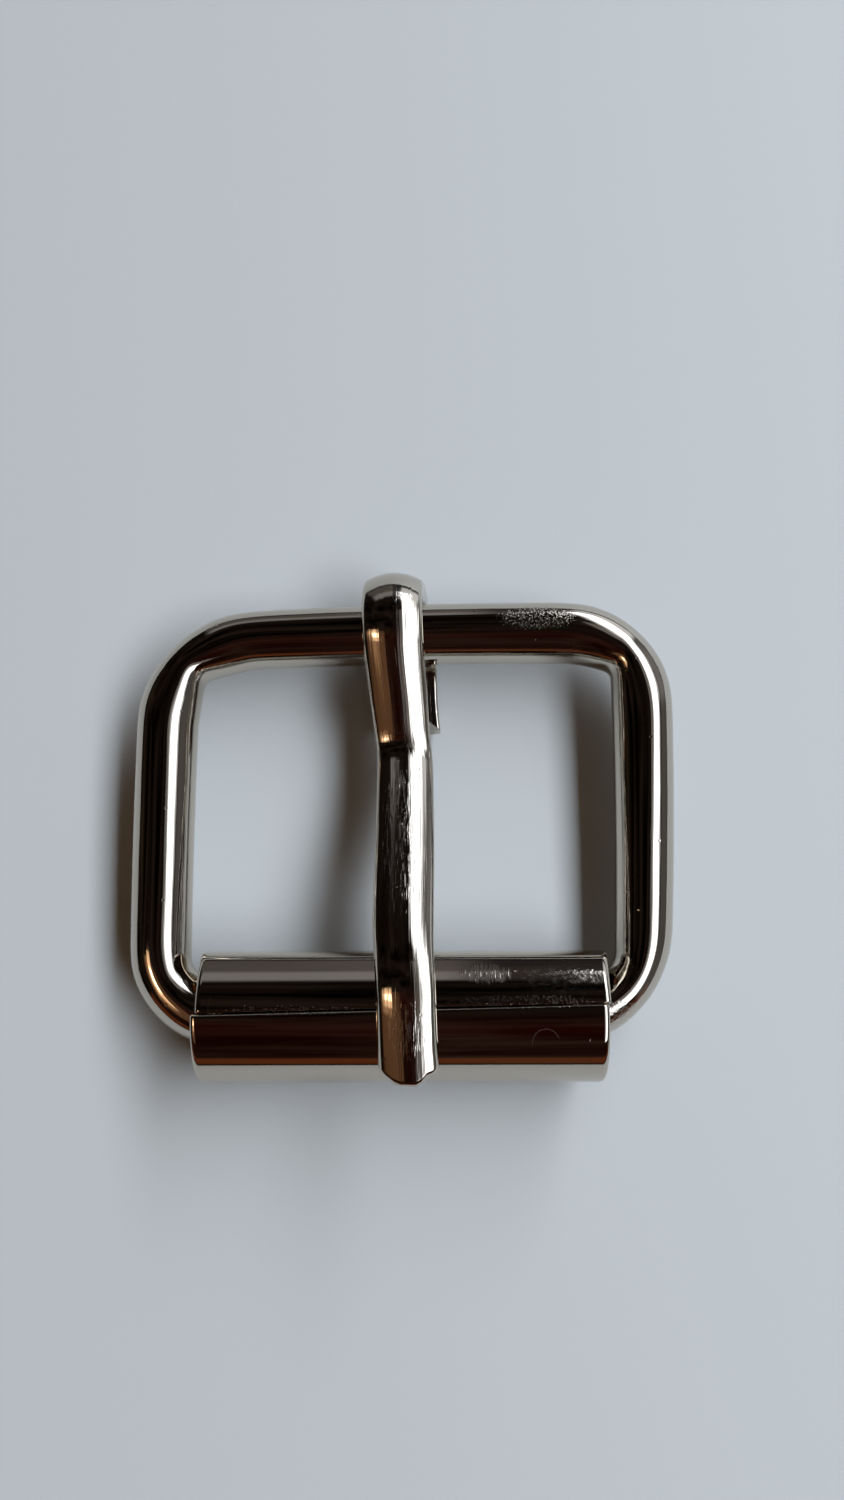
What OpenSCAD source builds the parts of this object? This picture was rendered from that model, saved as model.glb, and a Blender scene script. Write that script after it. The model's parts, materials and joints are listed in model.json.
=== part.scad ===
// Roller buckle for a 25 mm strap: a bent wire frame, a roller of rolled sheet and a curled tongue.
// It lies on the plane z = 0 as it would on a table. The roller carries the front bar and the
// tongue's curl carries the back bar, so the frame rises a little from the roller to the back bar.
// The strap runs along Y, with the back bar at +Y and the roller at -Y.
// The origin is the middle of the footprint.

/* [Frame] */
// Diameter of the round wire
wire_d = 3.6; // [3:0.1:4.4]
// Width of the window between the side bars: the strap and its play
window_w = 25.3; // [20:0.1:38]
// Length of the window between the back bar and the front bar
window_l = 19.3; // [17:0.1:28]
// Inside radius of the two bends at the back bar
back_bend_r = 2.9; // [1.5:0.1:4]
// Inside radius of the two bends at the roller
front_bend_r = 2; // [1.5:0.1:3]

/* [Roller] */
// Thickness of the sheet
sheet_t = 0.85; // [0.6:0.05:1.2]
// Bore diameter less wire diameter: how loosely the roller sits on the front bar
roller_play = 2.2; // [1.2:0.1:3]
// How far each end reaches past the straight stretch of the front bar, over its bend
roller_overhang = 0.9; // [0.3:0.1:1]
// Sideways place of the roller along the front bar
roller_shift = -0.15; // [-0.2:0.05:0.2]
// Width of the butt seam
seam_w = 0.15; // [0.1:0.05:0.3]
// Turn of the seam from the crest towards the back bar, in degrees
seam_turn = 4; // [-40:1:8]

/* [Tongue] */
// Width of the D-section wire
tongue_w = 3.3; // [2.6:0.1:4]
// Thickness of the D-section wire, from its flat to its crest
tongue_t = 1.85; // [1.5:0.05:2.3]
// Width of the curl and its tail, which bending has spread
curl_w = 3.5; // [2.6:0.1:4.2]
// Height of the straight side of the section at the curl, where the crest is flattened
curl_side_h = 1.05; // [0.6:0.05:1.2]
// Height of the straight side of the section along the blade
blade_side_h = 0.95; // [0.5:0.05:1.1]
// Length of the tail, from the back bar's axis to its cut end
tail_l = 5.5; // [3:0.1:7]
// Distance from the back bar's axis to the first bend of the blade
neck_l = 7.2; // [6:0.1:8]
// Slope of the neck down towards the first bend, in degrees
neck_dip = 24; // [12:1:25]
// Distance from the second bend forward to the roller's axis
crank_l = 1.9; // [1.5:0.1:3]
// Reach of the tip past the roller's axis
tip_l = 3; // [1.5:0.1:3.1]
// Slope of the tip down over the roller, in degrees
tip_dip = 16; // [6:1:18]
// Radius of both bends of the blade, on its flat side
blade_bend_r = 2.6; // [1.5:0.1:4]
// Size of the edge broken round the tip
tip_chamfer = 0.2; // [0.05:0.05:0.4]
// Sideways place of the curl along the back bar
curl_x = -0.2; // [-3:0.1:3]
// Sideways offset of the blade's root from the curl
blade_shift = -0.25; // [-0.4:0.05:0]
// Sideways offset of the tail from the curl
tail_shift = 0.25; // [0:0.05:0.4]
// Sideways lean of the blade, in degrees
blade_lean = 1.9; // [-3:0.1:3]

/* [Clearances] */
// Gap between the front bar and the bottom of the roller's bore
roller_gap = 0.1; // [0.05:0.01:0.2]
// Gap round the back bar inside the curl
curl_gap = 0.1; // [0.05:0.01:0.2]
// Gap between the tongue and the top of the roller
tip_gap = 0.08; // [0.05:0.01:0.2]

/* [Hidden] */
$fn = 96;

// Sides of the section's domed top, and steps round each bend of the blade
DOME_STEPS = 14;
BEND_STEPS = 6;
// How far a cutting shape reaches past what it cuts
cut_over = 1;

wire_r = wire_d / 2;
bar_pitch_w = window_w + wire_d;
bar_pitch_l = window_l + wire_d;
back_line_r = back_bend_r + wire_r;
front_line_r = front_bend_r + wire_r;

bore_r = wire_r + roller_play / 2;
roller_r = bore_r + sheet_t;
roller_len = window_w - 2 * front_bend_r + 2 * roller_overhang;
curl_in_r = wire_r + curl_gap;
curl_out_r = curl_in_r + tongue_t;

// Heights of the two bars above the table, and the rise of the frame between them
front_z = sheet_t + roller_gap + wire_r;
back_z = curl_out_r;
frame_rise = asin((back_z - front_z) / bar_pitch_l);
bars_l = bar_pitch_l * cos(frame_rise);

// The footprint runs from the roller's front to the curl's back, with the origin in its middle
back_y = (bars_l + roller_r - curl_out_r) / 2;
front_y = back_y - bars_l;

// A length of wire from the point a to the point b, along X or Y
module wire_run(a, b) {
    along = b - a;
    translate([a[0], a[1], 0])
        rotate(along[0] != 0 ? [0, 90, 0] : [-90, 0, 0])
            cylinder(r = wire_r, h = norm(along));
}

// A quarter bend of the wire round the point c, from the given start angle
module wire_bend(c, line_r, from) {
    translate([c[0], c[1], 0])
        rotate([0, 0, from])
            rotate_extrude(angle = 90)
                translate([line_r, 0])
                    circle(r = wire_r);
}

// The flat frame, with the front bar's axis on the X axis
module flat_frame() {
    half_w = bar_pitch_w / 2;
    back_x = half_w - back_line_r;
    front_x = half_w - front_line_r;
    side_top = bar_pitch_l - back_line_r;
    wire_run([-back_x, bar_pitch_l], [back_x, bar_pitch_l]);
    wire_run([-front_x, 0], [front_x, 0]);
    wire_run([-half_w, front_line_r], [-half_w, side_top]);
    wire_run([half_w, front_line_r], [half_w, side_top]);
    wire_bend([back_x, side_top], back_line_r, 0);
    wire_bend([-back_x, side_top], back_line_r, 90);
    wire_bend([-front_x, front_line_r], front_line_r, 180);
    wire_bend([front_x, front_line_r], front_line_r, 270);
}

module frame() {
    color("silver")
        translate([0, front_y, front_z])
            rotate([frame_rise, 0, 0])
                flat_frame();
}

// The roller lies on the table and hangs off-centre on the bar
module roller() {
    color("gainsboro")
        translate([roller_shift, front_y, roller_r])
            rotate([seam_turn, 0, 0])
                difference() {
                    rotate([0, 90, 0])
                        cylinder(r = roller_r, h = roller_len, center = true);
                    rotate([0, 90, 0])
                        cylinder(r = bore_r, h = roller_len + cut_over, center = true);
                    translate([0, 0, roller_r])
                        cube([roller_len + cut_over, seam_w, roller_r * 2], center = true);
                }
}

// Radius of the dome that rises from sides of height side_h to the crest
function dome_r(w, side_h) = (pow(w / 2, 2) + pow(tongue_t - side_h, 2)) / (2 * (tongue_t - side_h));

// The curl's D-section, its flat on the X axis and its crest at tongue_t
module curl_section() {
    r = dome_r(curl_w, curl_side_h);
    intersection() {
        translate([0, tongue_t - r])
            circle(r = r);
        translate([-curl_w / 2, 0])
            square([curl_w, tongue_t + cut_over]);
    }
}

// Half a turn of the section round the back of the bar, from its bottom to its top
module curl_ring() {
    rotate([0, 90, 0])
        rotate_extrude(angle = 180)
            translate([curl_in_r, 0])
                rotate(-90)
                    curl_section();
}

// The tail runs forward under the bar with its crest on the table
module tail() {
    translate([tail_shift, 0, -curl_in_r])
        rotate([90, 180, 0])
            linear_extrude(tail_l)
                curl_section();
}

// The blade's flat side in its own side view, as [distance forward of the back bar, height over it].
// The neck leaves the curl on a line that dips, and the tip lies on a line that clears the roller.
roller_up = roller_r - back_z;
tip_clear_r = roller_r + tip_gap;
function neck_height(s) = (curl_in_r - s * sin(neck_dip)) / cos(neck_dip);
function tip_height(s) = roller_up + (tip_clear_r - (s - bars_l) * sin(tip_dip)) / cos(tip_dip);
neck_corner = [neck_l, neck_height(neck_l)];
crank_corner = [bars_l - crank_l, tip_height(bars_l - crank_l)];
tip_corner = [bars_l + tip_l, tip_height(bars_l + tip_l)];
blade_rise = atan2(crank_corner[1] - neck_corner[1], crank_corner[0] - neck_corner[0]);

// Point at a distance along the direction a, and the stations of an arc of radius r that turns
// the path from the direction a to the direction b. A station is [forward, height, direction].
function ahead(p, a, d) = p + d * [cos(a), sin(a)];
function bend(p, a, b, r) =
    let (side = sign(b - a))
    [for (k = [0:BEND_STEPS])
        let (t = a + (b - a) * k / BEND_STEPS)
        [p[0] + side * r * (sin(t) - sin(a)), p[1] - side * r * (cos(t) - cos(a)), t]];

// The same arc, fitted into the corner c of the path
function corner_bend(c, a, b, r) = bend(ahead(c, a, -r * tan(abs(b - a) / 2)), a, b, r);

root_bend = bend([0, curl_in_r], 0, -neck_dip, curl_in_r);
tip_start = ahead(tip_corner, -tip_dip, -tip_chamfer);
STATIONS = concat(
    root_bend,
    corner_bend(neck_corner, -neck_dip, blade_rise, blade_bend_r),
    corner_bend(crank_corner, blade_rise, -tip_dip, blade_bend_r),
    [[tip_start[0], tip_start[1], -tip_dip], [tip_corner[0], tip_corner[1], -tip_dip]]);

// Shares of the blade's sizes along its reach: how much of the curl's form is left in the section,
// and the waist of its width
CURL_SHARE = [[0, 1], [0.12, 0.8], [0.26, 0], [1, 0]];
WAIST_SHARE = [[0, 1], [0.2, 0.99], [0.27, 0.97], [0.33, 0.99], [0.8, 0.98], [1, 1]];

// Outline of the blade's section at a station: two corners of the flat, then the dome
function section(s, shrink) =
    let (
        reach = s / tip_corner[0],
        share = lookup(reach, CURL_SHARE),
        w = (tongue_w + (curl_w - tongue_w) * share) * lookup(reach, WAIST_SHARE) - 2 * shrink,
        side_h = blade_side_h + (curl_side_h - blade_side_h) * share,
        r = dome_r(w, side_h),
        half_turn = asin(w / 2 / r)
    )
    concat(
        [[w / 2, shrink], [-w / 2, shrink]],
        [for (k = [0:DOME_STEPS])
            let (t = half_turn * (2 * k / DOME_STEPS - 1))
            [r * sin(t), tongue_t - shrink - r + r * cos(t)]]);

// A section's outline set at its station, square to the path and leaning sideways with the blade
function placed(station, shrink) =
    [for (p = section(station[0], shrink))
        [p[0] + blade_shift + station[0] * tan(blade_lean),
         -(station[0] - p[1] * sin(station[2])),
         station[1] + p[1] * cos(station[2])]];

module blade() {
    sides = DOME_STEPS + 3;
    last = len(STATIONS) - 1;
    points = [for (i = [0:last]) each placed(STATIONS[i], i == last ? tip_chamfer : 0)];
    faces = concat(
        [[for (j = [sides - 1:-1:0]) j]],
        [for (i = [0:last - 1]) for (j = [0:sides - 1])
            let (a = i * sides + j, b = i * sides + (j + 1) % sides)
            [a, b, a + sides]],
        [for (i = [0:last - 1]) for (j = [0:sides - 1])
            let (a = i * sides + j, b = i * sides + (j + 1) % sides)
            [b, b + sides, a + sides]],
        [[for (j = [0:sides - 1]) last * sides + j]]);
    polyhedron(points, faces);
}

module tongue() {
    color("lightgrey")
        translate([curl_x, back_y, back_z]) {
            curl_ring();
            tail();
            blade();
        }
}

frame();
roller();
tongue();
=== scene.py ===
"""Roller buckle: nickel-plated wire frame, rolled sheet roller and curled tongue, on a pale stage."""

import json
import math

import bpy
import numpy as np
from mathutils import Matrix, Vector


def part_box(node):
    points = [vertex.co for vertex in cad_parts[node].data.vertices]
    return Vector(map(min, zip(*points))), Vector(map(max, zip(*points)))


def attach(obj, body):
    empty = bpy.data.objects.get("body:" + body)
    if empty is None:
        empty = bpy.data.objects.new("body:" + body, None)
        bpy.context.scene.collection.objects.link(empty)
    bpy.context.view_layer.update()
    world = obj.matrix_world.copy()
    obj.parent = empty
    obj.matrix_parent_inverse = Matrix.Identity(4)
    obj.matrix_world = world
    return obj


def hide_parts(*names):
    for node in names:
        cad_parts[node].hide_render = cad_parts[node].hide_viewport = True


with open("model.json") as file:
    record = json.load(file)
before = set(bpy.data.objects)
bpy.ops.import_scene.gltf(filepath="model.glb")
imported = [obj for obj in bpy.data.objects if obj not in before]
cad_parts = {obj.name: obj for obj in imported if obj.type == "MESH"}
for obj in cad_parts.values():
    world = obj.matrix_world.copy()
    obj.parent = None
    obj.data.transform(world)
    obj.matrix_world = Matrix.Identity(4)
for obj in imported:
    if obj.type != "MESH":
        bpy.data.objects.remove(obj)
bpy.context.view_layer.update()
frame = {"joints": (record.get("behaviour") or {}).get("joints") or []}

bl_info = {
    "name": "Roller buckle",
    "version": (1, 0, 0),
    "blender": (4, 5, 0),
    "location": "View3D > Sidebar > Buckle",
    "description": "Builds a wire roller buckle round its packed solids, with its nickel finish and stage",
    "category": "Object",
}

MM = 0.001

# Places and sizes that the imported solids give, in millimetres
JOINT_POINTS = {j["name"]: np.array(j["pos_m"]) / MM for j in frame["joints"]}
BACK_BAR = JOINT_POINTS["tongue_swing"]
ROLLER_AXIS = JOINT_POINTS["roller_spin"]
FRAME_LOW, FRAME_HIGH = (np.array(corner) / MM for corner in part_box("frame"))
ROLLER_LOW, ROLLER_HIGH = (np.array(corner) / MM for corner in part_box("roller"))
WIRE_R = FRAME_HIGH[2] - BACK_BAR[2]
FRONT_BAR_Z = FRAME_LOW[2] + WIRE_R
BAR_SPAN = math.hypot(BACK_BAR[1] - ROLLER_AXIS[1], BACK_BAR[2] - FRONT_BAR_Z)
FRAME_RISE = math.asin((BACK_BAR[2] - FRONT_BAR_Z) / BAR_SPAN)
HALF_PITCH = FRAME_HIGH[0] - WIRE_R

# The frame's corners in order round it, each drawn by three points on its outer side and three on its
# inner side. A point is given by how far it lies from the crossing of the nominal edges, towards the
# middle of the window across and along the frame, and by its bend radius, in millimetres.
CORNERS = (
    # side across and along, outer points, inner points
    ((-1, -1), ((0.15, 4.00, 3.6), (1.50, 1.80, 3.6), (3.65, 0.00, 3.6)),
     ((0.10, 1.20, 1.0), (0.65, 0.55, 1.0), (1.35, 0.00, 1.0))),
    ((1, -1), ((4.25, 0.20, 4.0), (1.65, 2.65, 4.0), (0.50, 5.40, 4.0)),
     ((1.65, 0.00, 1.0), (0.85, 0.60, 1.0), (0.25, 1.40, 1.0))),
    ((1, 1), ((-0.05, 4.50, 5.0), (1.50, 1.60, 5.0), (4.35, -0.05, 5.0)),
     ((0.05, 4.10, 6.0), (0.03, 0.62, 0.3), (2.05, 0.15, 6.0))),
    ((-1, 1), ((4.65, 0.60, 5.0), (1.90, 2.60, 5.0), (0.15, 5.40, 5.0)),
     ((3.45, 0.48, 6.0), (0.50, 1.15, 0.3), (0.20, 3.90, 6.0))),
)
# How much further apart than the wire's width the two sides of a full bend are, as a share of it
FULL_BEND = 0.35

# Radius of curvature of the roller's outer face by the angle of its normal from straight up, south
# of the crest and north of it, in degrees and millimetres. Below the last angle of each, one radius
# is solved that closes the outline.
ROLLER_SOUTH = ((0, 43, 3.85), (43, 90, 3.66), (90, 135, 3.852))
ROLLER_NORTH = ((0, 28, 3.9), (28, 44, 5.9), (44, 82, 1.5), (82, 94, 7.0), (94, 135, 4.206))
# Blur of these steps in degrees, and how far north of the axis the crest lies in millimetres
ROLLER_BLUR = 1.5
ROLLER_SHIFT = 0.03
# Place and width of the flare of the roller's right edge, as shares of the way round the strip
FLARE_AT, FLARE_WIDTH = 0.79, 0.07

# The tongue's turns in order from its tail: degrees, and radius on its flat in millimetres
CURL = (204.0, 1.9)
BENDS = ((-46.4, 2.6), (38.4, 2.6))

# How the tongue's section changes: place along its flat from the top of the curl, which is negative
# round the curl and along the tail, sideways place, width, the radii of its crown and shoulders, and
# how far the low ridge along the crown lies from the middle, in millimetres
SECTIONS = (
    # along, sideways, width, crown, shoulder, ridge
    (-12.5, 0.60, 3.80, 3.4, 0.6, 0.0),
    (-11.0, 0.36, 3.56, 3.4, 0.6, 0.0),
    (-7.0, 0.28, 3.50, 3.5, 0.6, 0.0),
    (-6.0, 0.10, 3.50, 3.5, 0.5, 0.0),
    (-3.0, -0.50, 3.60, 3.5, 0.4, 0.0),
    (-1.3, -0.72, 3.60, 3.9, 0.4, 0.05),
    (1.1, -0.60, 3.61, 3.9, 0.4, 0.05),
    (4.4, -0.26, 3.44, 3.9, 0.4, 0.05),
    (7.4, 0.00, 3.26, 3.8, 0.45, -0.05),
    (9.0, 0.10, 3.38, 3.2, 0.5, 0.18),
    (14.9, 0.09, 3.43, 3.1, 0.5, 0.25),
    (19.7, 0.02, 3.42, 3.1, 0.5, 0.28),
    (21.8, 0.10, 3.22, 3.5, 0.5, 0.28),
    (23.0, 0.21, 3.24, 4.0, 0.5, 0.30),
    (25.6, 0.27, 3.26, 4.0, 0.5, 0.35),
    (28.5, 0.40, 3.30, 4.0, 0.5, 0.40),
)
# Stretch over which these changes are blurred, and how blunt the ridge is, in millimetres
SECTION_BLUR = 0.8
RIDGE_BLUNT = 0.05
# Places along the tongue between which the lean of its tip sets in
LEAN_FROM, LEAN_TO = 19.5, 23.0

# Lines that the drawing die has left along the tongue's crown: place from the ridge, height, reach
DIE_LINES = (
    (0.0, 0.0035, 0.03),
    (0.24, -0.0025, 0.05),
    (-0.52, 0.0020, 0.06),
    (0.55, 0.0025, 0.06),
    (1.08, 0.0030, 0.07),
    (-1.02, 0.0020, 0.06),
)

# How far the cut at the tip stands back, by the share of the half width from the middle
TIP_CUT = (
    (-1.0, 0.62), (-0.85, 0.48), (-0.5, 0.10), (-0.3, 0.0), (0.25, 0.0), (0.42, 0.15), (0.6, 0.5),
    (0.8, 0.6), (1.0, 0.75),
)
# How far from its end of the tongue each cut moves points, and the width of the tail's slant
CUT_REACH = 2.5
SLANT_WIDTH = 1.8

# Sizes of the last section, from its middle out, that close each end of the tongue
END_SHARES = (0.02, 0.2, 0.5, 0.8, 0.95)
# Length that the UV map gives to the upright side that closes the tongue's section
CLOSING_SIDE = 0.3


def smooth_step(x, low, high):
    """0 below low, 1 above high and an S-shaped cubic between them."""
    t = np.clip((x - low) / (high - low), 0, 1)
    return t * t * (3 - 2 * t)


def bump(x, centre, width):
    """Bell curve of height 1 round the centre, with the given standard width."""
    return np.exp(-0.5 * ((x - centre) / width) ** 2)


def smooth_loop(values, spacing, width):
    """A closed row of values, blurred along itself by a bell curve: the Fourier transform of the row
    times the transform of the bell curve."""
    rate = np.fft.fftfreq(len(values), spacing)
    keep = np.exp(-2 * (math.pi * width * rate) ** 2)
    return np.real(np.fft.ifft(np.fft.fft(values, axis=0) * keep[:, None], axis=0))


def add_object(name, data):
    """A new object in the scene, at the origin, that shows the data."""
    made = bpy.data.objects.new(name, data)
    bpy.context.scene.collection.objects.link(made)
    return made


def surface(name, grid, along, around, material, closed=False):
    """Mesh object of a grid of points, rows along the piece and columns round its section.

    Quads join each point to its neighbours, round the section and, in a closed piece, from the last
    row back to the first. Flat caps close the ends of any other piece. The UV map holds the distance
    along and around, in millimetres."""
    rows, cols = grid.shape[:2]
    row, col = np.meshgrid(np.arange(rows if closed else rows - 1), np.arange(cols), indexing="ij")
    after = (row + 1) % rows
    right = (col + 1) % cols
    quads = np.stack([row * cols + col, row * cols + right, after * cols + right, after * cols + col], -1)
    loops = quads.ravel()
    starts = np.arange(0, len(loops), 4)
    u = np.stack([along[row], along[row], along[row + 1], along[row + 1]], -1)
    v = np.stack([around[row, col], around[row, col + 1], around[after, col + 1], around[after, col]], -1)
    uv = np.stack([u, v], -1).reshape(-1, 2)
    if not closed:
        caps = np.stack([np.arange(cols)[::-1], (rows - 1) * cols + np.arange(cols)])
        starts = np.concatenate([starts, len(loops) + np.arange(2) * cols])
        loops = np.concatenate([loops, caps.ravel()])
        first, last = (np.stack([np.full(cols, along[r]), around[r, :cols]], -1) for r in (0, rows - 1))
        uv = np.concatenate([uv, first[::-1], last])
    mesh = bpy.data.meshes.new(name)
    mesh.vertices.add(rows * cols)
    mesh.vertices.foreach_set("co", (grid * MM).astype(np.float32).ravel())
    mesh.loops.add(len(loops))
    mesh.loops.foreach_set("vertex_index", loops.astype(np.int32))
    mesh.polygons.add(len(starts))
    mesh.polygons.foreach_set("loop_start", starts.astype(np.int32))
    mesh.uv_layers.new(name="Along").data.foreach_set("uv", uv.astype(np.float32).ravel())
    mesh.polygons.foreach_set("use_smooth", np.ones(len(starts), bool))
    mesh.update(calc_edges=True)
    mesh.validate()
    mesh.materials.append(material)
    return add_object(name, mesh)


def rounded_outline(corners, radii, side_steps, bend_steps):
    """Closed outline through four corners with a round bend at each.

    Each bend is an arc tangent to both sides: its start lies radius times the tangent of half the
    turn before the corner, and a point on it is start + radius (sin a) ahead + radius (1 - cos a) left.
    Each side runs from one arc to the next at even steps."""
    ahead = np.roll(corners, -1, axis=0) - corners
    ahead /= np.linalg.norm(ahead, axis=1, keepdims=True)
    behind = np.roll(ahead, 1, axis=0)
    turn = np.arctan2(np.cross(behind, ahead), (behind * ahead).sum(1))
    left = np.stack([-behind[:, 1], behind[:, 0]], -1)
    start = corners - behind * (radii * np.tan(turn / 2))[:, None]
    a = turn[:, None] * np.linspace(0, 1, bend_steps)
    arcs = (
        start[:, None]
        + (radii[:, None] * np.sin(a))[..., None] * behind[:, None]
        + (radii[:, None] * (1 - np.cos(a)))[..., None] * left[:, None]
    )
    share = np.linspace(0, 1, side_steps + 1)[1:-1, None]
    sides = arcs[:, -1, None] * (1 - share) + np.roll(arcs[:, 0], -1, axis=0)[:, None] * share
    return np.concatenate([arcs, sides], axis=1).reshape(-1, 2)


def between_marks(outline, per_eighth):
    """The outline from its first point, resampled so that each eighth of it, from the middle of a bar
    to the middle of a corner or back, has the same number of even steps."""
    marks = np.linspace(0, len(outline), 9).round().astype(int)
    closed = np.concatenate([outline, outline[:1]])
    step = np.linalg.norm(np.diff(closed, axis=0), axis=1)
    place = np.concatenate([[0], np.cumsum(step)])
    share = np.linspace(0, 1, per_eighth, endpoint=False)
    at = (place[marks[:-1], None] + np.diff(place[marks])[:, None] * share).ravel()
    return np.stack([np.interp(at, place, closed[:, k]) for k in (0, 1)], -1)


def frame_wire(sizes):
    """Points of the bent wire, rows along it and columns round its section.

    An outer outline O and an inner one I are paired between the middles of bars and corners. With
    c = cos t, a point lies at O (1 + c) / 2 + J (1 - c) / 2 + height sin t, where J passes from the
    blurred inner outline to the sharp one with the square of (1 - c) / 2. This leaves a crease inside
    each corner and a smooth crest, which leans by lean sin^2 t and is a little higher there."""
    sides, outer_points, inner_points = (np.array(column) for column in zip(*CORNERS))
    sides = sides[:, None]
    outlines = []
    for points, reach in ((outer_points, WIRE_R), (inner_points, -WIRE_R)):
        edges = sides * [HALF_PITCH + reach, BAR_SPAN / 2 + reach] + [0, BAR_SPAN / 2]
        corners = (edges - sides * points[..., :2]).reshape(-1, 2)
        outline = rounded_outline(corners, points[..., 2].ravel(), sizes.side_steps, sizes.bend_steps)
        per_corner = len(outline) // len(CORNERS)
        corner_middle = per_corner + (per_corner - sizes.side_steps) // 2
        outlines.append(between_marks(np.roll(outline, -corner_middle, axis=0), sizes.stations // 8))
    outer, inner = outlines
    gap = np.linalg.norm(np.roll(outer + inner, -1, axis=0) - outer - inner, axis=1) / 2
    place = np.concatenate([[0], np.cumsum(gap)])
    bend = (np.linalg.norm(outer - inner, axis=1) / (2 * WIRE_R) - 1)[:, None]
    spacing = place[-1] / len(outer)
    outer = smooth_loop(outer, spacing, sizes.bend_softness / MM)
    blurred = smooth_loop(inner, spacing, sizes.bend_softness / MM)
    inner = smooth_loop(inner, spacing, sizes.crease_softness / MM)
    bend = np.clip(smooth_loop(bend, spacing, sizes.bend_softness / MM) / FULL_BEND, 0, 1)

    t = -math.pi / 2 + 2 * math.pi * np.arange(sizes.sides) / sizes.sides
    c = np.cos(t)
    sharp = ((1 - c) / 2)[:, None] ** 2
    inner = blurred[:, None] * (1 - sharp) + inner[:, None] * sharp
    weight = ((1 + c) / 2 - sizes.crest_lean * bend * np.sin(t) ** 2 / 2)[..., None]
    flat = outer[:, None] * weight + inner * (1 - weight)
    across = flat / [HALF_PITCH, BAR_SPAN / 2] - [0, 1]
    bow_x = np.where(across[..., 0] > 0, sizes.right_bow, sizes.left_bow) / MM
    flat[..., 0] += across[..., 0] * np.clip(1 - across[..., 1] ** 2, 0, 1) * bow_x
    bow_y = np.clip(across[..., 1], 0, 1) * sizes.back_bow / MM
    flat[..., 1] += bow_y * np.clip(1 - across[..., 0] ** 2, 0, 1)
    high = WIRE_R * (1 + sizes.bend_rise * bend) * np.sin(t)
    grid = np.stack([
        flat[..., 0],
        ROLLER_AXIS[1] + flat[..., 1] * math.cos(FRAME_RISE) - high * math.sin(FRAME_RISE),
        FRONT_BAR_Z + flat[..., 1] * math.sin(FRAME_RISE) + high * math.cos(FRAME_RISE),
    ], -1)
    around = np.broadcast_to(2 * math.pi * WIRE_R * np.arange(sizes.sides + 1) / sizes.sides,
                             (len(outer), sizes.sides + 1))
    return grid[:, ::-1], place, around


def roller_outline(steps):
    """The roller's outer face in its end view, from its crest south, down and round to the crest.

    The point at each normal angle a is the integral of R(a) (cos a, -sin a) from the crest, with R
    in steps. Two radii of the lower half are solved so that the outline closes on itself."""
    a = np.radians(np.linspace(0, 360, steps + 1))
    middle = (a[1:] + a[:-1]) / 2
    degrees = np.degrees(middle)
    radius = np.zeros(steps)
    for low, high, r in ROLLER_SOUTH:
        radius[(degrees > low) & (degrees < high)] = r
    for low, high, r in ROLLER_NORTH:
        radius[(degrees > 360 - high) & (degrees < 360 - low)] = r
    hidden_south = (degrees > ROLLER_SOUTH[-1][1]) & (degrees < 180)
    hidden_north = (degrees > 180) & (degrees < 360 - ROLLER_NORTH[-1][1])
    ways = np.stack([np.cos(middle), -np.sin(middle)], -1) * (a[1] - a[0])
    need = -(radius[:, None] * ways).sum(0)
    parts = np.stack([ways[hidden_south].sum(0), ways[hidden_north].sum(0)], -1)
    south, north = np.linalg.solve(parts, need)
    radius[hidden_south], radius[hidden_north] = south, north
    radius = smooth_loop(radius[:, None], 1.0, steps / 360 * ROLLER_BLUR)[:, 0]
    points = np.concatenate([[[0, 0]], np.cumsum(radius[:, None] * ways, axis=0)])
    points -= points[-1] * np.linspace(0, 1, steps + 1)[:, None]
    return points, np.stack([np.sin(a), np.cos(a)], -1)


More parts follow.
